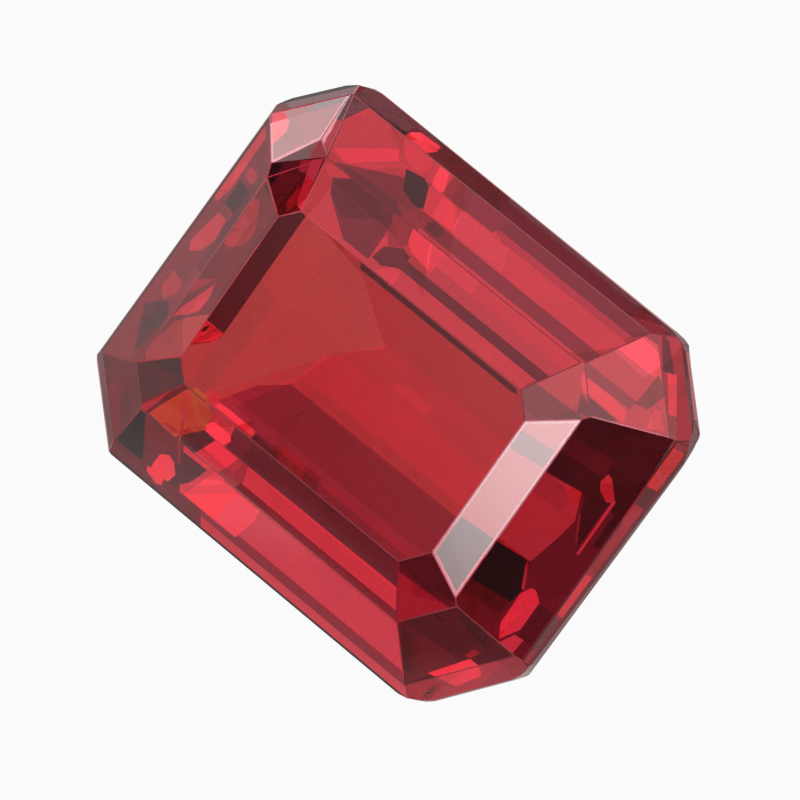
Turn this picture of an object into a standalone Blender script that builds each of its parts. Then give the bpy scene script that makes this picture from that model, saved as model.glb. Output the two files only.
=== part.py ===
# Emerald-cut red spinel: a long eight-sided step cut, lying on one of its lower facets.
# The stone is ground from a block, one flat facet at a time, as a cutter would do it.
import math

import bmesh
import bpy
from mathutils import Matrix, Vector

NAME = "emerald_cut_spinel"
MM = 0.001

# Sides are named by compass: the stone's long axis runs west to east and its table faces up.
# Direction of each side in degrees from east.
FACING = {
    "E": 0.0,
    "NE": 45.5,
    "N": 90.0,
    "NW": 137.5,
    "W": 180.0,
    "SW": 226.5,
    "S": 270.0,
    "SE": 320.5,
}
# How far each side's girdle lies from the axis in mm, and by how many degrees it is turned.
OUTLINE = {
    "E": (4.136, -1.1),
    "NE": (4.475, 0.0),
    "N": (3.207, -0.3),
    "NW": (4.385, 0.0),
    "W": (3.930, -1.0),
    "SW": (4.374, 0.0),
    "S": (3.220, 0.0),
    "SE": (4.365, 0.0),
}
# The girdle's corners are rounded: the radius in mm at the end of each side, going round.
CORNERS = {
    "E": 1.0,
    "NE": 0.6,
    "N": 0.85,
    "NW": 0.7,
    "W": 0.25,
    "SW": 0.2,
    "S": 0.8,
    "SE": 0.8,
}
CORNER_FLATS = 3

# Table height and depth of the girdle's lower edge, both from the height zero of the crown, in mm.
TABLE = 1.20
GIRDLE = 0.15

# The cutting chart. Each row of facets has its slope from the table plane in degrees and,
# except for the last row, the height or depth in mm at which it meets the next one.
# Hand cutting leaves the sides a little different, so each side has its own line.
# Crown rows run from the girdle up to the table. The first number is how far from the axis the
# first row's plane passes the height zero, in mm.
CROWN = {
    "E": (4.115, (50.8, 0.1415), (36.5, 0.91), (27.5, TABLE)),
    "NE": (4.42, (43.0, 0.21), (37.0, 0.86), (22.0, TABLE)),
    "N": (3.18, (58.5, 0.27), (36.5, 0.88), (23.0, TABLE)),
    "NW": (4.38, (53.0, 0.26), (35.0, 0.83), (24.0, TABLE)),
    "W": (3.93, (63.1, 0.24), (39.0, 0.92), (25.0, TABLE)),
    "SW": (4.364, (49.0, 0.24), (39.5, 0.90), (20.0, TABLE)),
    "S": (3.202, (47.0, 0.28), (40.5, 0.87), (24.0, TABLE)),
    "SE": (4.29, (47.5, 0.21), (40.0, 0.86), (24.0, TABLE)),
}
# Only here does the crown's first row turn with the girdle.
TURNED_WITH_GIRDLE = ("W",)
# Two narrow extra flats where the north-west corner's rows meet: direction and slope in degrees,
# and how far from the axis the plane passes the height zero, in mm.
EXTRA_FLATS = ((130.20, 33.29, 4.5734), (135.49, 31.90, 4.6701))
# Pavilion rows run from the girdle down to the keel, depths below the girdle's lower edge.
PAVILION = {
    "E": ((70.0, 0.10), (56.3, 1.67), (43.0, None)),
    "NE": ((75.0, 0.131), (44.0, 1.67), (40.0, None)),
    "N": ((65.5, 0.278), (48.0, 1.71), (45.5, None)),
    "NW": ((73.0, 0.067), (47.5, 1.74), (43.5, None)),
    "W": ((75.0, 0.08), (55.4, 1.75), (41.5, None)),
    "SW": ((75.5, 0.108), (44.5, 1.68), (38.5, None)),
    "S": ((75.0, 0.08), (45.2, 1.65), (42.5, None)),
    "SE": ((74.5, 0.114), (45.5, 1.68), (40.0, None)),
}

# The block that the stone is ground from, in mm.
BLOCK = 12


def grind(bm, normal, point):
    """Remove all of the stone on the outer side of a plane and close it with one flat facet."""
    cut = bmesh.ops.bisect_plane(
        bm,
        geom=bm.verts[:] + bm.edges[:] + bm.faces[:],
        dist=1e-8,
        plane_co=point,
        plane_no=normal,
        clear_outer=True,
    )
    rim = [e for e in cut["geom_cut"] if isinstance(e, bmesh.types.BMEdge)]
    if len(rim) > 2:
        bmesh.ops.contextual_create(bm, geom=rim)


def compass(degrees):
    turn = math.radians(degrees)
    return Vector((math.cos(turn), math.sin(turn), 0))


def tilted(out, slope, way=1):
    """Normal of a facet that faces out and slopes from the table plane by slope degrees."""
    lean = math.radians(slope)
    return out * math.sin(lean) + Vector((0, 0, way * math.cos(lean)))


def grind_rows(bm, out, reach, start, rows, way, first_out):
    """Grind one side's rows. way is 1 for the crown, which climbs, and -1 for the pavilion."""
    at, height = reach, 0.0
    faces_out = first_out
    for slope, line in rows:
        level = Vector((0, 0, start + way * height))
        grind(bm, tilted(faces_out, slope, way), (out * at + level) * MM)
        faces_out = out
        if line is not None:
            at -= (line - height) / math.tan(math.radians(slope))
            height = line


def girdle_line(side):
    """A side's girdle seen from above: the direction it faces and a point on it, in mm."""
    reach, turn = OUTLINE[side]
    return compass(FACING[side] + turn), compass(FACING[side]) * reach


def round_corner(bm, side, other, radius):
    """Round the girdle between two sides with a few upright flats that touch one circle."""
    (a, p), (b, q) = girdle_line(side), girdle_line(other)
    # The circle's centre lies one radius inside both sides.
    da, db = a.dot(p) - radius, b.dot(q) - radius
    cross = a.x * b.y - a.y * b.x
    centre = Vector(((da * b.y - db * a.y) / cross, (db * a.x - da * b.x) / cross, 0))
    start = FACING[side] + OUTLINE[side][1]
    sweep = (FACING[other] + OUTLINE[other][1] - start) % 360
    for k in range(CORNER_FLATS):
        out = compass(start + sweep * (k + 1) / (CORNER_FLATS + 1))
        grind(bm, out, (centre + out * radius) * MM)


def build_stone():
    bm = bmesh.new()
    bmesh.ops.create_cube(bm, size=BLOCK * MM)
    grind(bm, Vector((0, 0, 1)), Vector((0, 0, TABLE * MM)))
    sides = list(FACING)
    for side, after in zip(sides, sides[1:] + sides[:1]):
        out = compass(FACING[side])
        turned, point = girdle_line(side)
        grind(bm, turned, point * MM)
        start, *rows = CROWN[side]
        first = turned if side in TURNED_WITH_GIRDLE else out
        grind_rows(bm, out, start, 0.0, rows, 1, first)
        grind_rows(bm, out, OUTLINE[side][0], -GIRDLE, PAVILION[side], -1, turned)
        round_corner(bm, side, after, CORNERS[side])
    for direction, slope, start in EXTRA_FLATS:
        out = compass(direction)
        grind(bm, tilted(out, slope), out * start * MM)
    bmesh.ops.recalc_face_normals(bm, faces=bm.faces[:])
    mesh = bpy.data.meshes.new("spinel")
    bm.to_mesh(mesh)
    bm.free()
    return mesh


def spinel_material():
    material = bpy.data.materials.new("red_spinel")
    material.use_nodes = True
    shader = material.node_tree.nodes["Principled BSDF"]
    shader.inputs["Base Color"].default_value = (0.72, 0.02, 0.03, 1)
    shader.inputs["Roughness"].default_value = 0.0
    shader.inputs["Metallic"].default_value = 0.0
    shader.inputs["IOR"].default_value = 1.718
    shader.inputs["Transmission Weight"].default_value = 1.0
    return material


def main():
    for old in list(bpy.data.objects):
        bpy.data.objects.remove(old, do_unlink=True)

    group = bpy.data.collections.new(NAME)
    bpy.context.scene.collection.children.link(group)

    mesh = build_stone()
    mesh.materials.append(spinel_material())
    stone = bpy.data.objects.new("spinel", mesh)
    group.objects.link(stone)

    # The stone lies on the lowest row of its south side, so it leans by that facet's slope.
    lean = math.radians(PAVILION["S"][-1][0])
    stone.rotation_euler = (lean, 0, 0)
    turned = [Matrix.Rotation(lean, 3, "X") @ v.co for v in mesh.vertices]
    low = Vector(min(p[i] for p in turned) for i in range(3))
    high = Vector(max(p[i] for p in turned) for i in range(3))
    stone.location = (-(low.x + high.x) / 2, -(low.y + high.y) / 2, -low.z)


main()
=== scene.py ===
# %% [markdown]
# # A step-cut red spinel
# The real object is one loose gemstone, taken here as about 8 mm long: clear red spinel, ground
# flat by flat and polished. It has no setting, so this lesson is about one thing, how a cut stone
# handles light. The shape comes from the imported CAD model. Blender's unit here is the metre.

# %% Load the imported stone
import math

import bmesh
import bpy
from mathutils import Matrix, Vector


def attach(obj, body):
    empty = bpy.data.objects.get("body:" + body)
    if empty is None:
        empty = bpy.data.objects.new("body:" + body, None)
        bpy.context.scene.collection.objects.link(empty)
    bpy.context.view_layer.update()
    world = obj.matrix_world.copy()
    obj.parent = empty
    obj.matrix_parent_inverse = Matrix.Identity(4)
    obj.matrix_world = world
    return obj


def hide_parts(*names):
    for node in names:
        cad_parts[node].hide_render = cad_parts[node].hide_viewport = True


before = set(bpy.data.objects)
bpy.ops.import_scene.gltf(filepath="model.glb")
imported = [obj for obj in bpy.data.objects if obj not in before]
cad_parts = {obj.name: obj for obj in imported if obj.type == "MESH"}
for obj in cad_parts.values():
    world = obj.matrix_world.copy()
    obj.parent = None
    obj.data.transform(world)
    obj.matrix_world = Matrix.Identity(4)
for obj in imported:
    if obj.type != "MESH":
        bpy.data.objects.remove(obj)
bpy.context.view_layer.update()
scene = bpy.context.scene
MM = 0.001


# %% [markdown]
# ## Where the stone lies
# The stone rests on the lowest facet of its south side, so its own axes lean. Patterns on the
# facets are easier to place in the stone's axes: x along the stone, y across it, z out of the
# table, with the zero at the middle of the girdle. A lean and a seat tie them to the room.

# %% The stone's own axes
LEAN = math.radians(42.5)
SEAT = Vector((-0.102, -0.108, 2.435)) * MM
STONE_TO_ROOM = Matrix.Translation(SEAT) @ Matrix.Rotation(LEAN, 4, "X")
print("seat, mm:", [round(v / MM, 3) for v in SEAT])


# %% [markdown]
# ## The camera
# A gem is photographed from far away with a long lens, so its facets keep their true shapes.
# The camera is built from where it stands round the stone, how far it rises and how it rolls.

# %% Camera
# The turn, the rise and the roll are in degrees, and the lens and the film are in mm.
CAMERA_TURN = 37.66
CAMERA_RISE = 52.31
CAMERA_ROLL = 7.85
CAMERA_FAR = 128.2 * MM
CAMERA_LENS = 413.9
FILM_WIDTH = 36
NEAREST = 5 * MM
ASIDE = Vector((0.171, -0.114)) * MM

turn, rise = math.radians(CAMERA_TURN), math.radians(CAMERA_RISE)
back = Vector((math.sin(turn) * math.cos(rise), -math.cos(turn) * math.cos(rise), math.sin(rise)))
flat_right = Vector((0, 0, 1)).cross(back).normalized()
flat_up = back.cross(flat_right)
roll = math.radians(CAMERA_ROLL)
right = flat_right * math.cos(roll) + flat_up * math.sin(roll)
up = back.cross(right)

camera = bpy.data.objects.new("camera", bpy.data.cameras.new("camera"))
scene.collection.objects.link(camera)
scene.camera = camera
camera.data.lens = CAMERA_LENS
camera.data.sensor_width = FILM_WIDTH
camera.data.clip_start = NEAREST
place = SEAT + back * CAMERA_FAR + right * ASIDE.x + up * ASIDE.y
camera.matrix_world = Matrix.Translation(place) @ Matrix((right, up, back)).transposed().to_4x4()
print("camera at, mm:", [round(v / MM, 1) for v in place])


# %% [markdown]
# ## How light is counted
# Light bounces many times inside a cut stone before it gets out. Each bounce counts against the
# renderer's limits, and where the count runs out the stone goes black, so the limits are raised.
# The Standard view shows colours as they are set, without a film's curve.

# %% Light paths
BOUNCES = 24

scene.cycles.max_bounces = BOUNCES
scene.cycles.glossy_bounces = BOUNCES
scene.cycles.transmission_bounces = BOUNCES
scene.cycles.blur_glossy = 0
scene.view_settings.view_transform = "Standard"
print("bounces:", BOUNCES)


# %% [markdown]
# ## The stone's mesh
# The imported mesh is made of triangles. Dissolving the flat ones gives whole facets back. A real
# polished stone has no perfectly sharp edge: a bevel about a hundredth of a millimetre wide makes
# the fine lines between facets, which glint by their own reflections and by the painted highlights
# and dark lines that their tones add further on. Only edges beside a facet that faces up, as the
# stone lies, get one. The mesh is then worked in the stone's own axes.

# %% Facets with fine edges
# Edges shorter than SHORTEST stay sharp, and so do those where no facet faces up.
EDGE = 0.010 * MM
SHORTEST = 0.12 * MM
SAME_PLACE = 1e-8
FLAT = math.radians(0.2)
FACES_UP = 0.1

cad_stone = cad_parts["spinel"]
bm = bmesh.new()
bm.from_mesh(cad_stone.data)
painted_light_shade = bm.faces.layers.float_vector.new("painted_light_shade")
bmesh.ops.remove_doubles(bm, verts=bm.verts[:], dist=SAME_PLACE)
bmesh.ops.dissolve_limit(bm, angle_limit=FLAT, verts=bm.verts[:], edges=bm.edges[:])
bmesh.ops.recalc_face_normals(bm, faces=bm.faces[:])
print("facets:", len(bm.faces))
upper_edges = [
    e for e in bm.edges
    if e.calc_length() > SHORTEST and any(f.normal.z > FACES_UP for f in e.link_faces)
]
print("edges with a bevel:", len(upper_edges), "of", len(bm.edges))

# Moving the mesh leaves its normals as they were. With a bm.normal_update() before the bevel, its
# corners would lie flatter, by a few thousandths of a millimetre.
bm.transform(STONE_TO_ROOM.inverted())
fine = bmesh.ops.bevel(bm, geom=upper_edges, offset=EDGE, segments=1, profile=0.5, affect="EDGES")
strips = set(fine["faces"])
print("faces with the fine edges:", len(bm.faces))


# %% [markdown]
# ## Names for the facets
# A cutter names a facet by its side and its row. Here the side is a compass direction, read from
# the facet's normal, and the row counts from the table (1) down to the girdle (3).

# %% Facets by name
# The directions of the sides and the slopes that part the rows are in degrees.
SIDES = {"E": 0, "NE": 45.5, "N": 90, "NW": 137.5, "W": 180, "SW": 226.5, "S": 270, "SE": 320.5}
TABLE_SLOPE = 3
ROW_SLOPES = (31, 42, 80)
UPRIGHT = 91


def facet_name(normal):
    """Name a facet by its side and its row, from its normal in the stone's axes."""
    slope = math.degrees(normal.angle(Vector((0, 0, 1))))
    if slope < TABLE_SLOPE:
        return "T"
    if slope > UPRIGHT:
        return "under"
    if slope > ROW_SLOPES[-1]:
        return "girdle"
    row = 1 + sum(slope > limit for limit in ROW_SLOPES[:-1])
    facing = math.degrees(math.atan2(normal.y, normal.x))
    side = min(SIDES, key=lambda name: abs((facing - SIDES[name] + 180) % 360 - 180))
    return side + str(row)


by_name = {}
for face in bm.faces:
    if face not in strips:
        by_name.setdefault(facet_name(face.normal), []).append(face)
print("crown facets:", " ".join(sorted(name for name in by_name if name not in ("girdle", "under"))))


# %% [markdown]
# ## The pattern inside the stone, painted on the crown
# Seen through its crown, a step cut shows a mosaic of light and dark panels: each is the far side
# of the stone, mirrored once or twice. The real pavilion can't be seen, so ray tracing through a
# guessed one can't give the same mosaic. That light and shade are therefore painted on the crown
# facets as panels, and each lets through its own share of the light from inside.
# The tones of this painted light and shade have plain names. Each is the share of red, green and
# blue that comes through.

# %% Tones
# Each tone is painted light or shade: ink is the deepest painted shade, and flash and glint are
# painted highlights.
PAINTED_TONES = {
    "ink": (0.02, 0.002, 0.005),
    "soot": (0.06, 0.003, 0.008),
    "wine": (0.10, 0.004, 0.012),
    "plum": (0.15, 0.006, 0.018),
    "port": (0.20, 0.012, 0.028),
    "garnet": (0.25, 0.014, 0.034),
    "brick": (0.30, 0.010, 0.026),
    "ruby": (0.36, 0.018, 0.040),
    "cherry": (0.43, 0.024, 0.048),
    "red": (0.50, 0.036, 0.056),
    "rose": (0.57, 0.034, 0.056),
    "coral": (0.65, 0.042, 0.074),
    "salmon": (0.74, 0.040, 0.072),
    "flame": (0.84, 0.036, 0.072),
    "flash": (1.0, 0.060, 0.100),
    "crimson": (0.57, 0.034, 0.044),
    "blush": (0.50, 0.060, 0.090),
    "mauve": (0.12, 0.090, 0.100),
    "smoke": (0.14, 0.045, 0.052),
    "pewter": (0.20, 0.140, 0.140),
    "clay": (0.45, 0.045, 0.042),
    "umber": (0.39, 0.045, 0.042),
    "russet": (0.50, 0.036, 0.042),
    "scarlet": (0.62, 0.032, 0.044),
    "amber": (0.50, 0.100, 0.025),
    "glint": (0.60, 0.300, 0.340),
}
print("tones:", len(PAINTED_TONES))


# %% Painted tones of the fine edges and the hidden half
# Below the girdle a facet takes the first tone whose number its normal's z is above, so each row of
# the pavilion gets its own level of painted light and shade. A fine edge takes the first line whose
# facets it lies beside, or else EDGE_TONE: glint and blush make painted highlights, and the darker
# tones make painted dark lines.
EDGE_TONE = "garnet"
UNDER_TONES = ((-0.6, "red"), (-0.75, "ruby"), (-1.1, "cherry"))
GIRDLE_TONE = "plum"
LINE_TONES = (
    ({"girdle"}, "soot"),
    ({"NW1", "NW2"}, "wine"),
    ({"N2", "NW2"}, "glint"),
    ({"E1"}, "glint"),
    ({"NW2"}, "glint"),
    ({"W1"}, "blush"),
    ({"NW1"}, "blush"),
    ({"T", "N1"}, "blush"),
    ({"NE2", "E2"}, "glint"),
    ({"SE2", "S2"}, "blush"),
    ({"S1", "S2"}, "wine"),
    ({"T", "S1"}, "garnet"),
)
print("kinds of fine edge with their own tone:", len(LINE_TONES))


# %% [markdown]
# ## The mosaic
# Every crown facet has a painted ground tone, and most have painted panels of light and shade, laid
# one over another. A panel is a tone and the corners of a convex shape in plan, in mm in the stone's
# axes. Corners may lie outside the facet, because only that facet is cut.

# %% The table
MOSAIC = {}
MOSAIC["T"] = ("crimson", (
    ("russet", (-1.0, 1.45), (2.4, 1.45), (2.4, 0.74), (-1.0, 0.74)),
    ("scarlet", (-1.0, 0.22), (2.4, 0.22), (2.4, -0.34), (-1.2, -0.34)),
    ("russet", (-0.4, -0.37), (2.4, -0.37), (2.4, -0.6), (-0.5, -0.6)),
    ("clay", (-2.04, 1.5), (-1.0, 1.37), (0.05, 0.7), (-0.6, 0.05), (-2.04, 0.05)),
    ("clay", (-2.04, 0.05), (-0.6, 0.05), (-1.62, -1.3), (-2.04, -1.5)),
    ("clay", (-2.4, -1.0), (-2.03, -0.77), (-1.9, -0.8), (-1.9, -1.55), (-2.08, -1.55),
     (-2.4, -1.25)),
    ("clay", (-0.6, 0.05), (-0.7, -0.33), (-1.27, -1.3), (-1.62, -1.3)),
    ("umber", (-2.04, 0.35), (-1.68, 0.2), (-1.66, -0.6), (-1.75, -1.5), (-2.04, -1.5)),
    ("wine", (-2.4, 1.5), (-2.03, 1.5), (-2.03, -0.6), (-2.4, -0.6)),
    ("salmon", (-2.4, -0.6), (-2.03, -0.6), (-2.06, -0.76), (-2.38, -1.0)),
    ("brick", (-0.75, -0.55), (2.45, -0.51), (2.45, -1.2), (-1.4, -1.2), (-1.15, -0.85)),
    ("ruby", (-1.4, -1.2), (2.3, -1.2), (2.3, -1.38), (-1.52, -1.38)),
    ("garnet", (-0.75, -1.38), (2.2, -1.38), (2.2, -1.5), (-0.75, -1.5)),
    ("plum", (-0.78, -1.4), (-0.3, -1.44), (-0.3, -1.5), (-0.78, -1.5)),
    ("flash", (-1.52, -1.47), (-1.48, -1.4), (-1.35, -1.38), (-0.85, -1.38), (-0.77, -1.42),
     (-0.82, -1.47)),
    ("wine", (-0.95, 1.41), (2.02, 1.41), (2.1, 1.35), (2.02, 1.33), (-0.9, 1.33)),
    ("amber", (-1.95, -1.55), (-1.9, -1.44), (-1.7, -1.43), (-1.58, -1.55)),
))
print("panels in the table:", len(MOSAIC["T"][1]))


# %% First row, long sides
MOSAIC["N1"] = ("rose", (
    ("port", (-2.14, 2.04), (-1.9, 2.2), (-1.05, 2.2), (-0.95, 1.8), (-0.9, 1.5), (-1.38, 1.5),
     (-2.0, 1.86)),
    ("plum", (-2.1, 2.04), (-1.9, 2.2), (-1.35, 2.2), (-1.2, 2.02), (-1.45, 1.8), (-1.65, 1.72),
     (-2.0, 1.88)),
    ("ruby", (-1.1, 2.2), (-0.7, 2.2), (-0.62, 1.98), (-0.78, 1.75), (-0.98, 1.95)),
    ("plum", (-0.86, 1.76), (-0.62, 1.9), (-0.46, 1.86), (-0.42, 1.68), (-0.7, 1.54),
     (-0.88, 1.56)),
    ("plum", (-0.5, 1.8), (2.3, 1.8), (2.3, 1.65), (-0.5, 1.66)),
    ("red", (-0.5, 1.98), (2.5, 1.98), (2.4, 1.8), (-0.45, 1.8)),
    ("coral", (-0.15, 2.2), (0.5, 2.2), (0.6, 1.98), (-0.1, 1.98)),
    ("flash", (-0.74, 2.2), (-0.37, 2.2), (-0.14, 1.88), (-0.5, 1.92), (-0.64, 2.0)),
    ("salmon", (-0.37, 2.2), (-0.12, 2.2), (-0.08, 1.88), (-0.14, 1.88)),
    ("salmon", (-0.72, 1.43), (-0.55, 1.62), (-0.41, 1.62), (-0.34, 1.43)),
))
MOSAIC["S1"] = ("cherry", (
    ("plum", (-1.08, -1.5), (2.3, -1.5), (2.3, -1.84), (-1.08, -1.86)),
    ("garnet", (-0.7, -2.14), (2.5, -2.13), (2.5, -2.24), (-0.7, -2.25)),
    ("cherry", (-1.0, -1.87), (-0.64, -1.87), (-0.66, -2.2), (-1.05, -2.2)),
    ("flame", (-0.64, -1.87), (2.5, -1.84), (2.5, -2.12), (-0.62, -2.14)),
    ("salmon", (-0.64, -1.88), (-0.25, -1.88), (-0.1, -2.12), (-0.62, -2.13)),
    ("flame", (-1.5, -2.24), (-1.46, -2.1), (-1.28, -1.88), (-0.8, -1.88), (-0.95, -2.1),
     (-1.02, -2.24)),
    ("rose", (-1.5, -1.5), (-1.08, -1.5), (-1.08, -1.66), (-1.5, -1.7)),
    ("flash", (-1.53, -1.87), (-1.47, -1.72), (-1.38, -1.66), (-1.1, -1.66), (-1.05, -1.74),
     (-1.14, -1.87)),
    ("plum", (-2.12, -1.5), (-1.9, -1.5), (-2.2, -2.3), (-2.5, -2.3)),
    ("wine", (-1.86, -2.26), (-1.84, -2.1), (-1.5, -1.86), (-1.28, -1.88), (-1.5, -2.26)),
    ("amber", (-2.42, -2.22), (-2.06, -1.62), (-1.96, -1.48), (-1.58, -1.48), (-1.48, -1.64),
     (-1.5, -1.86), (-1.88, -2.24)),
    ("coral", (-2.0, -1.55), (-1.96, -1.55), (-1.85, -1.93), (-1.89, -1.93)),
    ("cherry", (-1.89, -1.93), (-1.85, -1.93), (-1.77, -2.26), (-1.81, -2.26)),
))
print("facets drawn so far:", len(MOSAIC))


# %% First row, short sides and corners
MOSAIC["E1"] = ("red", (
    ("wine", (2.4, -0.47), (3.0, -0.47), (3.0, -1.6), (2.4, -1.6)),
    ("port", (2.4, 0.7), (3.0, 0.74), (3.0, 1.02), (2.4, 1.0)),
))
MOSAIC["W1"] = ("port", (
    ("plum", (-2.45, 1.2), (-2.36, 1.2), (-2.36, -0.6), (-2.45, -0.6)),
    ("cherry", (-2.95, 1.1), (-2.83, 1.15), (-2.6, 0.85), (-2.55, 0.72), (-2.62, 0.5),
     (-2.82, 0.35), (-2.93, 0.35)),
    ("cherry", (-3.08, -0.4), (-2.95, -0.3), (-2.65, 0.1), (-2.7, -0.15), (-2.9, -0.5)),
    ("coral", (-2.62, -0.15), (-2.56, -0.35), (-2.58, -0.6), (-2.72, -0.75), (-2.92, -0.9),
     (-2.9, -0.75)),
    ("clay", (-2.85, -0.95), (-2.6, -0.7), (-2.36, -0.5), (-2.36, -1.25), (-2.95, -1.7),
     (-3.0, -1.5)),
))
MOSAIC["NE1"] = ("rose", (
    ("garnet", (2.0, 1.4), (2.2, 1.66), (2.85, 1.62), (3.1, 1.62), (2.4, 1.0)),
    ("garnet", (2.72, 1.88), (3.1, 1.72), (2.86, 1.62)),
    ("flash", (2.55, 2.1), (2.66, 1.95), (2.75, 1.88), (2.8, 1.92), (2.7, 2.1)),
))
MOSAIC["SE1"] = ("plum", (
    ("wine", (2.0, -1.5), (2.6, -1.63), (3.0, -1.5), (2.6, -1.05)),
    ("ruby", (2.1, -1.63), (2.95, -1.63), (3.0, -1.7), (2.45, -2.3)),
    ("brick", (2.35, -1.63), (2.85, -1.63), (2.45, -1.8)),
))
MOSAIC["SW1"] = ("soot", (
    ("wine", (-3.1, -1.7), (-2.6, -1.55), (-2.2, -1.5), (-2.5, -2.3)),
))
MOSAIC["NW1"] = ("wine", (
    ("ink", (-3.1, 1.4), (-2.6, 1.2), (-2.82, 1.55), (-2.8, 1.95), (-3.1, 1.7)),
    ("blush", (-2.5, 2.3), (-2.35, 1.95), (-2.12, 1.44), (-2.25, 1.46), (-2.32, 1.52),
     (-2.62, 2.1)),
    ("ruby", (-2.78, 2.0), (-2.62, 2.12), (-2.5, 1.86), (-2.62, 1.8)),
    ("brick", (-2.45, 1.65), (-2.36, 1.62), (-2.28, 1.46), (-2.3, 1.3), (-2.42, 1.38)),
))
print("facets drawn so far:", len(MOSAIC))


# %% Second row, long sides
MOSAIC["N2"] = ("rose", (
    ("port", (-0.9, 3.05), (2.85, 3.05), (2.7, 2.84), (-0.8, 2.84)),
    ("cherry", (0.0, 2.84), (2.8, 2.84), (2.7, 2.74), (0.3, 2.74)),
    ("garnet", (-0.78, 3.05), (0.2, 3.05), (0.1, 2.76), (-0.45, 2.76)),
    ("brick", (-0.95, 3.05), (-0.78, 3.05), (-0.5, 2.83), (-0.42, 2.75), (-0.85, 2.75)),
    ("garnet", (-0.7, 2.42), (2.6, 2.42), (2.5, 2.24), (-0.7, 2.24)),
    ("brick", (-1.0, 2.43), (-0.6, 2.43), (-0.68, 2.15), (-1.2, 2.15)),
    ("garnet", (-2.2, 2.26), (-1.62, 2.74), (-1.0, 2.76), (-0.95, 2.45), (-1.0, 2.15),
     (-2.45, 2.15)),
    ("plum", (-0.66, 2.36), (-0.58, 2.43), (-0.4, 2.42), (-0.34, 2.34), (-0.4, 2.27),
     (-0.6, 2.27)),
    ("red", (-2.65, 2.28), (-2.72, 2.66), (-2.45, 3.02), (-1.9, 3.02), (-1.6, 2.72),
     (-2.16, 2.26)),
    ("salmon", (-2.5, 2.3), (-1.8, 2.85), (-1.66, 2.72), (-2.18, 2.27)),
    ("smoke", (-2.95, 3.05), (-2.45, 3.05), (-2.68, 2.72), (-2.75, 2.5)),
    ("soot", (-1.5, 2.71), (-1.2, 2.76), (-1.05, 2.7), (-0.85, 2.45), (-0.98, 2.41),
     (-1.28, 2.48)),
    ("salmon", (-1.08, 2.74), (-0.7, 2.74), (-0.64, 2.44), (-0.84, 2.43)),
    ("flash", (-0.8, 2.73), (-0.48, 2.73), (-0.27, 2.45), (-0.68, 2.45)),
    ("coral", (-0.48, 2.73), (0.05, 2.73), (0.25, 2.45), (-0.27, 2.45)),
    ("coral", (0.05, 2.73), (0.45, 2.73), (0.65, 2.45), (0.25, 2.45)),
    ("salmon", (-1.88, 3.0), (-1.66, 2.82), (-1.5, 2.77), (-1.3, 2.77), (-1.23, 2.86),
     (-1.32, 3.02)),
    ("flash", (-1.2, 3.05), (-1.05, 3.05), (-0.85, 2.78), (-0.9, 2.74), (-1.05, 2.75),
     (-1.12, 2.85)),
    ("plum", (-2.1, 2.19), (-2.08, 2.28), (-1.2, 2.32), (-0.95, 2.19)),
))
MOSAIC["S2"] = ("coral", (
    ("plum", (-2.6, -2.25), (-1.7, -2.25), (-1.6, -2.95), (-2.95, -2.95)),
    ("ink", (-2.6, -2.25), (-2.45, -2.26), (-2.33, -2.95), (-2.95, -2.95)),
    ("wine", (-1.7, -2.35), (-1.1, -2.33), (-1.42, -2.64), (-1.62, -2.95), (-1.85, -2.95)),
    ("brick", (-0.5, -2.86), (2.8, -2.85), (2.8, -2.95), (-0.6, -2.95)),
    ("flash", (-1.52, -2.92), (-1.12, -2.33), (-0.65, -2.28), (-0.97, -2.92)),
    ("flash", (-0.65, -2.28), (-0.2, -2.28), (-0.26, -2.5), (-0.5, -2.92), (-0.97, -2.92)),
    ("flame", (-1.57, -2.32), (-1.5, -2.26), (-0.9, -2.26), (-0.9, -2.32)),
    ("red", (-0.9, -2.25), (2.6, -2.24), (2.6, -2.28), (-0.9, -2.29)),
    ("flash", (-1.9, -2.55), (-1.8, -2.6), (-1.73, -2.75), (-1.93, -3.1), (-2.22, -3.0),
     (-2.12, -2.78), (-2.08, -2.65)),
    ("brick", (-1.82, -2.25), (-1.77, -2.25), (-1.68, -2.56), (-1.73, -2.56)),
))
print("facets drawn so far:", len(MOSAIC))


# %% Second row, short sides
MOSAIC["E2"] = ("plum", (
    ("soot", (2.95, 2.0), (3.95, 2.1), (4.02, 0.72), (2.95, 0.72)),
    ("wine", (2.95, 1.34), (3.55, 1.34), (3.55, 1.08), (2.95, 1.05)),
    ("red", (2.95, 0.7), (3.44, 0.74), (3.57, 0.35), (3.52, 0.0), (3.42, -0.47), (2.95, -0.47)),
    ("soot", (3.5, 0.72), (3.6, 0.9), (3.77, 0.8), (3.77, 0.06), (3.57, 0.45)),
    ("garnet", (3.55, 0.47), (3.58, 0.47), (3.74, 0.1), (3.71, 0.08)),
    ("ink", (2.95, -0.47), (3.38, -0.47), (3.54, -0.85), (3.5, -1.1), (2.95, -1.1)),
    ("wine", (2.95, -1.1), (3.5, -1.1), (3.48, -1.3), (2.95, -1.28)),
    ("red", (3.57, 1.15), (3.64, 1.12), (3.82, 0.87), (3.74, 0.8), (3.6, 0.9), (3.55, 1.0)),
    ("coral", (3.79, 0.87), (3.83, 0.88), (3.83, -0.03), (3.8, -0.03)),
    ("cherry", (3.38, -0.5), (3.42, -0.5), (3.55, -0.84), (3.52, -0.86)),
    ("salmon", (3.6, -0.78), (3.66, -0.76), (3.78, -0.88), (3.78, -1.35), (3.64, -1.62),
     (3.55, -1.42), (3.54, -0.92)),
    ("coral", (3.76, -1.45), (3.88, -1.45), (3.86, -1.74), (3.72, -1.92), (3.62, -1.75)),
    ("wine", (3.8, -0.9), (4.02, -0.9), (4.02, -1.45), (3.8, -1.45)),
    ("soot", (3.9, 1.9), (4.02, 1.9), (4.02, 0.2), (3.9, 0.2)),
))
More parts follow.
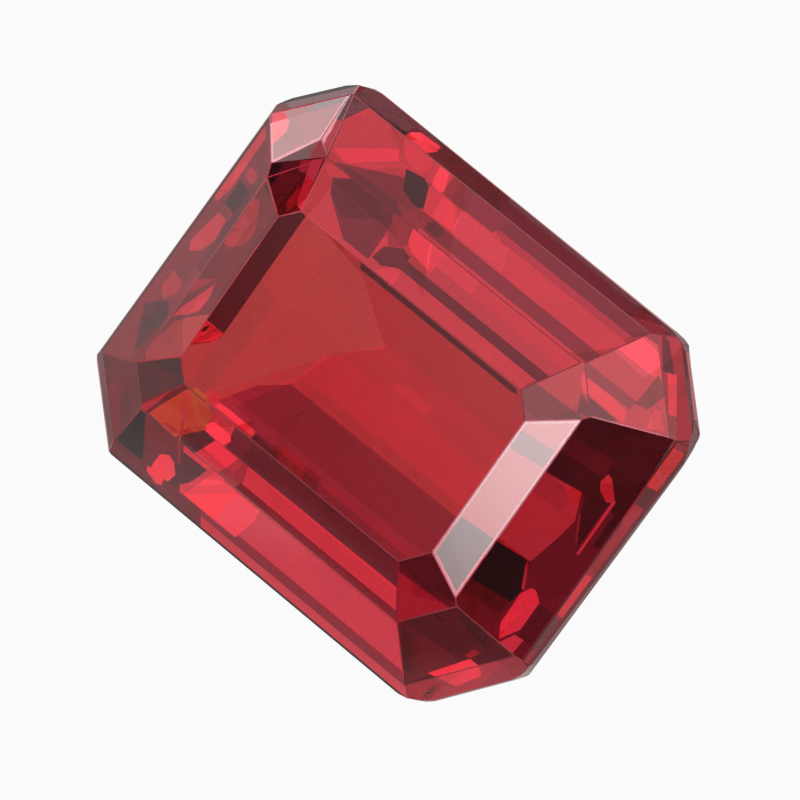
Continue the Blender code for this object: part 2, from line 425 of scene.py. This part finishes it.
MOSAIC["W2"] = ("garnet", (
    ("coral", (-3.53, 1.8), (-3.8, 1.95), (-3.8, 0.66), (-3.62, 0.64), (-3.53, 0.9)),
    ("port", (-3.5, 1.75), (-3.0, 1.45), (-2.97, 1.1), (-3.5, 1.1)),
    ("cherry", (-3.46, 1.3), (-3.38, 1.37), (-3.2, 1.36), (-3.12, 1.28), (-3.2, 1.19),
     (-3.38, 1.2)),
    ("soot", (-3.46, 1.12), (-3.1, 1.12), (-3.08, 0.72), (-3.46, 0.72)),
    ("plum", (-3.13, 1.2), (-2.95, 1.3), (-2.95, -0.2), (-3.13, -0.2)),
    ("coral", (-3.45, 0.56), (-3.2, 0.58), (-3.13, 0.25), (-3.28, 0.0), (-3.5, -0.14),
     (-3.62, -0.02), (-3.52, 0.3)),
    ("red", (-3.55, -0.5), (-3.2, -0.5), (-3.15, -0.68), (-3.35, -0.88), (-3.55, -0.8)),
    ("wine", (-3.65, -1.15), (-3.42, -0.95), (-3.2, -0.85), (-3.05, -0.95), (-3.1, -1.5),
     (-3.2, -1.7), (-3.45, -1.4)),
))
print("facets drawn so far:", len(MOSAIC))


# %% Second row, corners
MOSAIC["NE2"] = ("coral", (
    ("flash", (2.57, 2.62), (2.63, 2.92), (2.7, 2.93), (3.1, 2.86), (3.3, 2.64), (3.22, 2.57)),
    ("ruby", (2.5, 2.25), (3.3, 2.18), (3.3, 2.05), (2.55, 2.1)),
    ("flash", (2.55, 2.09), (3.0, 2.06), (3.3, 2.0), (3.37, 1.86), (3.2, 1.87), (2.68, 1.93)),
    ("port", (2.78, 1.9), (3.3, 1.84), (3.03, 1.6)),
    ("brick", (3.25, 2.62), (3.5, 2.48), (3.46, 2.18), (3.3, 2.15)),
    ("brick", (2.6, 3.1), (2.98, 3.1), (3.05, 2.94), (2.66, 2.95)),
    ("flash", (3.5, 2.24), (3.58, 2.26), (3.82, 2.06), (3.62, 1.98)),
))
MOSAIC["SE2"] = ("wine", (
    ("soot", (3.0, -1.55), (3.5, -1.6), (3.55, -1.85), (3.3, -1.8)),
    ("plum", (2.4, -2.2), (3.4, -2.2), (3.1, -2.6), (2.85, -3.0)),
    ("wine", (2.5, -2.25), (2.68, -2.25), (2.85, -2.8), (2.72, -2.85)),
    ("flash", (3.42, -2.12), (3.55, -2.13), (3.62, -2.25), (3.38, -2.6), (3.02, -2.66)),
    ("brick", (3.42, -1.96), (3.52, -1.94), (3.42, -2.12), (3.34, -2.12)),
))
MOSAIC["SW2"] = ("plum", (
    ("port", (-3.6, -2.2), (-3.0, -2.95), (-2.7, -2.9), (-3.2, -2.3)),
))
MOSAIC["NW2"] = ("brick", (
    ("wine", (-3.9, 2.3), (-3.0, 3.1), (-2.9, 2.9), (-3.1, 2.65), (-3.3, 2.4), (-3.3, 2.15)),
    ("garnet", (-3.3, 2.2), (-3.1, 2.2), (-3.0, 2.1), (-3.1, 1.6), (-3.35, 1.78)),
    ("flash", (-3.85, 2.1), (-3.7, 2.24), (-3.4, 2.17), (-3.3, 2.05), (-3.32, 1.8), (-3.6, 1.9)),
    ("mauve", (-2.95, 3.03), (-2.83, 2.65), (-2.66, 2.65), (-2.85, 3.05)),
    ("blush", (-2.83, 2.65), (-2.73, 2.32), (-2.4, 2.2), (-2.66, 2.65)),
    ("wine", (-2.73, 2.32), (-3.08, 1.63), (-2.8, 1.8), (-2.4, 2.2)),
    ("brick", (-2.73, 2.32), (-2.78, 2.2), (-2.62, 2.0), (-2.38, 2.2), (-2.42, 2.25)),
))
print("facets drawn so far:", len(MOSAIC))


# %% Third row, by the girdle
MOSAIC["N3"] = ("plum", (
    ("flash", (-1.9, 3.02), (-1.9, 3.1), (-1.82, 3.16), (-1.46, 3.17), (-1.42, 3.1),
     (-1.48, 3.02)),
    ("garnet", (2.4, 3.2), (2.9, 3.2), (2.9, 3.0), (2.4, 3.0)),
    ("smoke", (-2.9, 3.2), (-1.95, 3.2), (-1.95, 3.0), (-2.9, 3.0)),
))
MOSAIC["S3"] = ("rose", (
    ("garnet", (-3.0, -2.9), (2.9, -2.9), (2.9, -3.03), (-3.0, -3.03)),
    ("plum", (-3.1, -2.9), (-1.18, -2.9), (-1.12, -3.3), (-3.1, -3.3)),
    ("flash", (-2.22, -2.9), (-1.9, -2.9), (-1.94, -3.06), (-2.05, -3.1), (-2.24, -3.02)),
))
MOSAIC["E3"] = ("brick", (
    ("rose", (3.95, 1.3), (4.3, 1.3), (4.3, 1.95), (3.95, 1.95)),
    ("wine", (3.95, 1.0), (4.3, 1.0), (4.3, 1.3), (3.95, 1.3)),
    ("ruby", (3.95, 0.68), (4.3, 0.68), (4.3, 0.96), (3.95, 0.96)),
    ("rose", (3.95, -0.2), (4.3, -0.2), (4.3, -0.9), (3.95, -0.9)),
    ("smoke", (3.95, -0.95), (4.3, -0.95), (4.3, -1.5), (3.95, -1.5)),
    ("ink", (4.0, 0.7), (4.0, -1.68), (4.02, -1.68), (4.02, 0.7)),
))
MOSAIC["W3"] = ("wine", ())
MOSAIC["NE3"] = ("cherry", (
    ("flash", (3.3, 2.72), (3.4, 2.76), (3.78, 2.3), (3.68, 2.28)),
    ("plum", (2.9, 3.1), (3.05, 3.05), (3.38, 2.74), (3.25, 2.7)),
    ("ruby", (3.72, 2.3), (3.78, 2.3), (3.92, 2.1), (3.86, 2.08)),
))
MOSAIC["SE3"] = ("ruby", (
    ("salmon", (3.42, -2.12), (3.55, -2.13), (3.62, -2.25), (3.38, -2.6), (3.02, -2.66)),
))
MOSAIC["SW3"] = ("plum", ())
MOSAIC["NW3"] = ("pewter", ())
print("facets drawn:", len(MOSAIC), "panels:", sum(len(panels) for _, panels in MOSAIC.values()))


# %% [markdown]
# ## Thin rims
# The very edge of a polished facet is a little rounded, so it shows as a fine pale or dark line.
# Here that line is painted: a rim is a strip along one edge of a facet with a painted highlight or
# a painted dark line for its tone. It is described by where it lies on the facet, and its corners
# are worked out from the facet itself, so it always fits.

# %% Rims
# Facet, the way its edge faces in degrees from east, where the strip starts and ends inside that
# edge and how far it runs on past the edge's ends, in mm, and its tone.
RIMS = (
    ("E1", 180, 0, 0.03, 0, "glint"),
    ("E1", 0, 0, 0.03, 0, "glint"),
    ("E1", 130, 0, 0.04, 0, "glint"),
    ("E1", 238, 0, 0.04, 0, "glint"),
    ("NW2", 333, 0, 0.03, 0, "glint"),
    ("NW2", 238, 0, 0.03, 0, "glint"),
    ("NW2", 17, 0, 0.03, 0, "glint"),
    ("W2", 180, 0, 0.04, 0, "soot"),
    ("N3", 90, 0, 0.04, 0.2, "smoke"),
    ("S3", 270, 0, 0.04, 0.2, "ink"),
    ("E3", 0, 0, 0.03, 0.2, "plum"),
    ("NE3", 45, 0, 0.03, 0.2, "wine"),
    ("SW3", 225, 0, 0.04, 0.2, "glint"),
    ("SW3", 225, 0.04, 0.08, 0.2, "ink"),
    ("NW3", 135, 0, 0.06, 0.2, "ink"),
)
print("rims:", len(RIMS))


# %% [markdown]
# ## Cutting the panels
# Each panel is cut out of its facet with upright planes, one for each of its sides, so the facet
# stays flat. A painted image would be another way, but it blurs when the camera comes close.
# Looking straight down on the stone makes this a flat problem with two coordinates.

# %% Helpers in plan
def sides_of(shape):
    """The sides of a convex shape, each with the direction that points out of it."""
    middle = sum(shape, Vector((0, 0))) / len(shape)
    for a, b in zip(shape, shape[1:] + shape[:1]):
        out = (b - a).orthogonal().normalized()
        if (middle - a).dot(out) > 0:
            out.negate()
        yield a, b, out


def overlaps(face, ring):
    """True if a facet piece and a panel, both convex, share some area."""
    shape = [v.co.to_2d() for v in face.verts]
    for these, those in ((ring, shape), (shape, ring)):
        for a, _, out in sides_of(these):
            if all((p - a).dot(out) > -SAME_PLACE for p in those):
                return False
    return True


# %% Cutting one panel
CUT_CLOSE = 1e-7


def paint_panel(name, tone, outline):
    """Cut one panel into a facet and give it its painted tone of light and shade."""
    ring = [Vector(p) * MM for p in outline]
    inside = [f for f in by_name[name] if overlaps(f, ring)]
    for a, _, out in sides_of(ring):
        geom = set(inside)
        for f in inside:
            geom.update(f.verts)
            geom.update(f.edges)
        cut = bmesh.ops.bisect_plane(
            bm, geom=list(geom), dist=CUT_CLOSE, plane_co=a.to_3d(), plane_no=out.to_3d()
        )
        pieces = [g for g in cut["geom"] if isinstance(g, bmesh.types.BMFace)]
        known = set(by_name[name])
        by_name[name] += [f for f in pieces if f not in known]
        inside = [f for f in pieces if (f.calc_center_median().to_2d() - a).dot(out) < 0]
    for f in inside:
        f[painted_light_shade] = PAINTED_TONES[tone]


# %% Laying one rim
SHORT_EDGE = 0.3 * MM
whole = {
    name: [v.co.to_2d() for v in max(faces, key=lambda f: f.calc_area()).verts]
    for name, faces in by_name.items()
}


def rim(name, facing, start, end, past, tone):
    """Lay a painted highlight or painted dark line along the edge of a facet that faces one way."""
    turn = math.radians(facing)
    wanted = Vector((math.cos(turn), math.sin(turn)))
    long_sides = [side for side in sides_of(whole[name]) if (side[1] - side[0]).length > SHORT_EDGE]
    a, b, out = max(long_sides, key=lambda side: side[2].dot(wanted))
    on = (b - a).normalized() * past
    first, last = a / MM - on, b / MM + on
    near, far = out * start, out * end
    paint_panel(name, tone, [first - near, last - near, last - far, first - far])


# %% Tones for every face
facet_of = {face: name for name, faces in by_name.items() for face in faces}
for face in bm.faces:
    face[painted_light_shade] = PAINTED_TONES[EDGE_TONE]
# Fine edges get painted highlights or painted dark lines.
for strip in strips:
    beside = {facet_of.get(face) for edge in strip.edges for face in edge.link_faces}
    for names, tone in LINE_TONES:
        if names <= beside:
            strip[painted_light_shade] = PAINTED_TONES[tone]
            break
for name, (ground, panels) in MOSAIC.items():
    for face in by_name[name]:
        face[painted_light_shade] = PAINTED_TONES[ground]
    for tone, *outline in panels:
        paint_panel(name, tone, outline)
# Rims go on last: painted highlights and painted dark lines along facet edges.
for strip_along in RIMS:
    rim(*strip_along)
for face in by_name["girdle"]:
    face[painted_light_shade] = PAINTED_TONES[GIRDLE_TONE]
# Pavilion facets get painted light and shade by row.
for face in by_name["under"]:
    tone = next(tone for limit, tone in UNDER_TONES if face.normal.z > limit)
    face[painted_light_shade] = PAINTED_TONES[tone]
print("faces with the panels:", len(bm.faces))


# %% [markdown]
# ## The finished piece
# The mesh goes back from the stone's axes to the room's and becomes an object. It takes the place
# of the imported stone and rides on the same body.

# %% The stone as an object
bm.transform(STONE_TO_ROOM)
mesh = bpy.data.meshes.new("spinel_stone")
bm.to_mesh(mesh)
bm.free()
stone = bpy.data.objects.new("spinel_stone", mesh)
scene.collection.objects.link(stone)
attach(stone, "root")
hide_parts("spinel")
print("stone:", len(mesh.polygons), "faces")


# %% [markdown]
# ## Uneven colour
# No natural stone is quite even. This group makes any colour a little darker and lighter from
# place to place: slow clouds about a millimetre across, and a fine grain.

# %% Clouds and grain
# Each is a noise's scale per metre and how strongly it changes the colour.
CLOUDS = (900, 0.24)
GRAIN = (26000, 0.30)
NOISE_DETAIL = 1

colour_drift = bpy.data.node_groups.new("colour_drift", "ShaderNodeTree")
colour_drift.interface.new_socket("Colour", in_out="INPUT", socket_type="NodeSocketVector")
colour_drift.interface.new_socket("Colour", in_out="OUTPUT", socket_type="NodeSocketVector")
parts = colour_drift.nodes
join_up = colour_drift.links.new
way_in = parts.new("NodeGroupInput")
way_out = parts.new("NodeGroupOutput")
where = parts.new("ShaderNodeTexCoord")
last = way_in.outputs["Colour"]
for size, strength in (CLOUDS, GRAIN):
    noise = parts.new("ShaderNodeTexNoise")
    noise.inputs["Scale"].default_value = size
    noise.inputs["Detail"].default_value = NOISE_DETAIL
    join_up(where.outputs["Object"], noise.inputs["Vector"])
    gain = parts.new("ShaderNodeMapRange")
    gain.inputs["To Min"].default_value = 1 - strength / 2
    gain.inputs["To Max"].default_value = 1 + strength / 2
    join_up(noise.outputs["Fac"], gain.inputs["Value"])
    scaled = parts.new("ShaderNodeVectorMath")
    scaled.operation = "SCALE"
    join_up(last, scaled.inputs[0])
    join_up(gain.outputs["Result"], scaled.inputs["Scale"])
    last = scaled.outputs["Vector"]
join_up(last, way_out.inputs["Colour"])
print("uneven colour:", len(parts), "nodes")


# %% [markdown]
# ## Spinel
# Spinel bends light by its index of 1.718. Chromium in it takes away green and blue over a few
# millimetres and leaves the red, which is absorption inside the stone. Where light enters the eye
# through a panel, the panel's painted tone of light and shade holds some of it back. The shader
# multiplies by the square root of its base colour at each crossing, so the tone is squared first.
# Light that goes out from inside meets a clear surface.

# %% Red spinel
IOR = 1.718

material = bpy.data.materials.new("red_spinel")
material.use_nodes = True
mesh.materials.append(material)
nodes = material.node_tree.nodes
links = material.node_tree.links
shader = nodes["Principled BSDF"]
shader.inputs["Roughness"].default_value = 0.0
shader.inputs["IOR"].default_value = IOR
shader.inputs["Transmission Weight"].default_value = 1.0
print("index of refraction:", IOR)


# %% The panels' painted tones
CLEAR = (1, 1, 1, 1)

# The attribute holds the painted light and shade of the mosaic, the rims and the fine edges.
panel = nodes.new("ShaderNodeAttribute")
panel.attribute_type = "GEOMETRY"
panel.attribute_name = "painted_light_shade"
drift = nodes.new("ShaderNodeGroup")
drift.node_tree = colour_drift
links.new(panel.outputs["Vector"], drift.inputs["Colour"])
square = nodes.new("ShaderNodeVectorMath")
square.operation = "MULTIPLY"
links.new(drift.outputs["Colour"], square.inputs[0])
links.new(drift.outputs["Colour"], square.inputs[1])
side_hit = nodes.new("ShaderNodeNewGeometry")
clear = nodes.new("ShaderNodeMix")
clear.data_type = "RGBA"
links.new(side_hit.outputs["Backfacing"], clear.inputs["Factor"])
links.new(square.outputs["Vector"], clear.inputs["A"])
clear.inputs["B"].default_value = CLEAR
links.new(clear.outputs["Result"], shader.inputs["Base Color"])


# %% Colour inside the stone
INSIDE_COLOUR = (0.95, 0.0, 0.2, 1)
INSIDE_DENSITY = 80

inside = nodes.new("ShaderNodeVolumeAbsorption")
inside.inputs["Color"].default_value = INSIDE_COLOUR
inside.inputs["Density"].default_value = INSIDE_DENSITY
links.new(inside.outputs["Volume"], nodes["Material Output"].inputs["Volume"])
print("material:", material.name, "with", len(nodes), "nodes")


# %% [markdown]
# ## The room
# A polished stone is a mirror of its room, so the room is drawn with care: a plain grey dome with
# a few round soft lights and dark cards. Each of them is one line of numbers: the compass
# direction (from +X towards +Y) and height it is seen at, the angle inside which it is full, the
# angle at which it has faded out, and its strength.

# %% Soft lights and dark cards
DOME = 0.65
CARDS = (
    (-91, -7, 15, 26, 0.65),
    (-66, -5, 15.5, 23, 0.7),
    (-29, 14, 9, 12, 0.88),
    (-172, 32, 6, 11, 0.9),
    (114, 23, 8, 18, 0.6),
    (-118, 40, 5, 12, 0.84),
)
LIGHTS = (
    (-49, 32, 3.2, 5.4, 7.8),
    (170.8, 18.8, 4, 6.5, 3.8),
    (-25, 64, 13, 30, 0.85),
    (-116, 41, 6, 8.5, 0.6),
    (118, 43, 5, 21, 0.7),
    (-29, 33, 4.5, 11.5, 0.7),
    (-116, 23, 4, 9, 0.25),
    (62, 48, 8, 23, 0.35),
    (10, 15, 5, 15, 0.3),
    (-160, 6, 5, 12, 0.25),
)
print("soft lights:", len(LIGHTS), "dark cards:", len(CARDS))


# %% A soft disc in the dome
world = bpy.data.worlds.new("room")
scene.world = world
world.use_nodes = True
room = world.node_tree.nodes
wire = world.node_tree.links.new
room.clear()
look = room.new("ShaderNodeTexCoord")


def aim(azimuth, elevation):
    """The direction of a place in the dome."""
    a, e = math.radians(azimuth), math.radians(elevation)
    return Vector((math.cos(a) * math.cos(e), math.sin(a) * math.cos(e), math.sin(e)))


def disc(azimuth, elevation, inner, outer, middle, edge):
    """A soft disc in the dome: one value in its middle and another outside its edge."""
    dot = room.new("ShaderNodeVectorMath")
    dot.operation = "DOT_PRODUCT"
    wire(look.outputs["Generated"], dot.inputs[0])
    dot.inputs[1].default_value = aim(azimuth, elevation)
    fade = room.new("ShaderNodeMapRange")
    fade.interpolation_type = "SMOOTHSTEP"
    fade.inputs["From Min"].default_value = math.cos(math.radians(outer))
    fade.inputs["From Max"].default_value = math.cos(math.radians(inner))
    fade.inputs["To Min"].default_value = edge
    fade.inputs["To Max"].default_value = middle
    wire(dot.outputs["Value"], fade.inputs["Value"])
    return fade.outputs["Result"]


def join(operation, first, second):
    """Add or multiply two values of the room's light."""
    math_node = room.new("ShaderNodeMath")
    math_node.operation = operation
    wire(first, math_node.inputs[0])
    wire(second, math_node.inputs[1])
    return math_node.outputs[0]


# %% [markdown]
# ## Two liberties with the light
# Real light does neither of these. What shines through the stone is mixed with one even level,
# which keeps the inner light calm, and the camera sees a plain pale backdrop in place of the room.
# One helper does both, for the room here and for the table further on.

# %% What the stone and the camera see
BACKDROP = 0.96
EVEN_LIGHT = 1.3
EVEN_SHARE = 0.6


def as_seen(around, link, light):
    """Even out what is seen through the stone, and give the camera the plain backdrop."""
    path = around.new("ShaderNodeLightPath")
    share = around.new("ShaderNodeMath")
    share.operation = "MULTIPLY"
    link(path.outputs["Is Transmission Ray"], share.inputs[0])
    share.inputs[1].default_value = EVEN_SHARE
    even = around.new("ShaderNodeMix")
    even.data_type = "FLOAT"
    link(share.outputs[0], even.inputs["Factor"])
    link(light, even.inputs["A"])
    even.inputs["B"].default_value = EVEN_LIGHT
    pick = around.new("ShaderNodeMix")
    pick.data_type = "FLOAT"
    link(path.outputs["Is Camera Ray"], pick.inputs["Factor"])
    link(even.outputs["Result"], pick.inputs["A"])
    pick.inputs["B"].default_value = BACKDROP
    return pick.outputs["Result"]


# %% The room put together
dome = room.new("ShaderNodeValue")
dome.outputs[0].default_value = DOME
level = dome.outputs[0]
for azimuth, elevation, inner, outer, strength in CARDS:
    level = join("MULTIPLY", level, disc(azimuth, elevation, inner, outer, 1 - strength, 1))
for azimuth, elevation, inner, outer, strength in LIGHTS:
    level = join("ADD", level, disc(azimuth, elevation, inner, outer, strength, 0))

sky = room.new("ShaderNodeBackground")
wire(as_seen(room, wire, level), sky.inputs["Strength"])
room_out = room.new("ShaderNodeOutputWorld")
wire(sky.outputs[0], room_out.inputs["Surface"])
print("nodes in the room:", len(room))


# %% [markdown]
# ## The table it lies on
# The camera sees an even pale sheet. What the stone mirrors of it is a little uneven, as a lit
# table is: round pools, each with its place in mm, the radius inside which it is full, the radius
# at which it has faded, and how much brighter or darker it is there.

# %% Pale table
# The table is far wider than the stone, and lies just below it so that the two never meet.
TABLE_LIGHT = 0.56
POOLS = (
    (0.5, -8.5, 5, 10.5, -0.75),
    (1, -2, 2.5, 5.3, 0.9),
    (-3, -7, 3.7, 4.7, 0.85),
    (4.8, -2.7, 1.5, 2.5, 0.45),
)
HALF = 1.0
BELOW = 0.01 * MM

floor_mesh = bpy.data.meshes.new("floor")
corners = [(-HALF, -HALF, 0), (HALF, -HALF, 0), (HALF, HALF, 0), (-HALF, HALF, 0)]
floor_mesh.from_pydata(corners, [], [(0, 1, 2, 3)])
floor = bpy.data.objects.new("floor", floor_mesh)
floor.location.z = -BELOW
scene.collection.objects.link(floor)
print("table, m:", [round(v, 3) for v in floor.dimensions])


# %% Light of the table
pale = bpy.data.materials.new("pale_table")
pale.use_nodes = True
floor_mesh.materials.append(pale)
table_nodes = pale.node_tree.nodes
table_wire = pale.node_tree.links.new
table_nodes.clear()
spot = table_nodes.new("ShaderNodeTexCoord")
glow = table_nodes.new("ShaderNodeValue")
glow.outputs[0].default_value = TABLE_LIGHT
lit = glow.outputs[0]
for x, y, inner, outer, change in POOLS:
    away = table_nodes.new("ShaderNodeVectorMath")
    away.operation = "DISTANCE"
    table_wire(spot.outputs["Object"], away.inputs[0])
    away.inputs[1].default_value = (x * MM, y * MM, 0)
    fade = table_nodes.new("ShaderNodeMapRange")
    fade.interpolation_type = "SMOOTHSTEP"
    fade.inputs["From Min"].default_value = inner * MM
    fade.inputs["From Max"].default_value = outer * MM
    fade.inputs["To Min"].default_value = 1 + change
    fade.inputs["To Max"].default_value = 1
    table_wire(away.outputs["Value"], fade.inputs["Value"])
    times = table_nodes.new("ShaderNodeMath")
    times.operation = "MULTIPLY"
    table_wire(lit, times.inputs[0])
    table_wire(fade.outputs["Result"], times.inputs[1])
    lit = times.outputs[0]
sheet = table_nodes.new("ShaderNodeEmission")
table_wire(as_seen(table_nodes, table_wire, lit), sheet.inputs["Strength"])
table_out = table_nodes.new("ShaderNodeOutputMaterial")
table_wire(sheet.outputs[0], table_out.inputs["Surface"])
print("pools of light on the table:", len(POOLS))
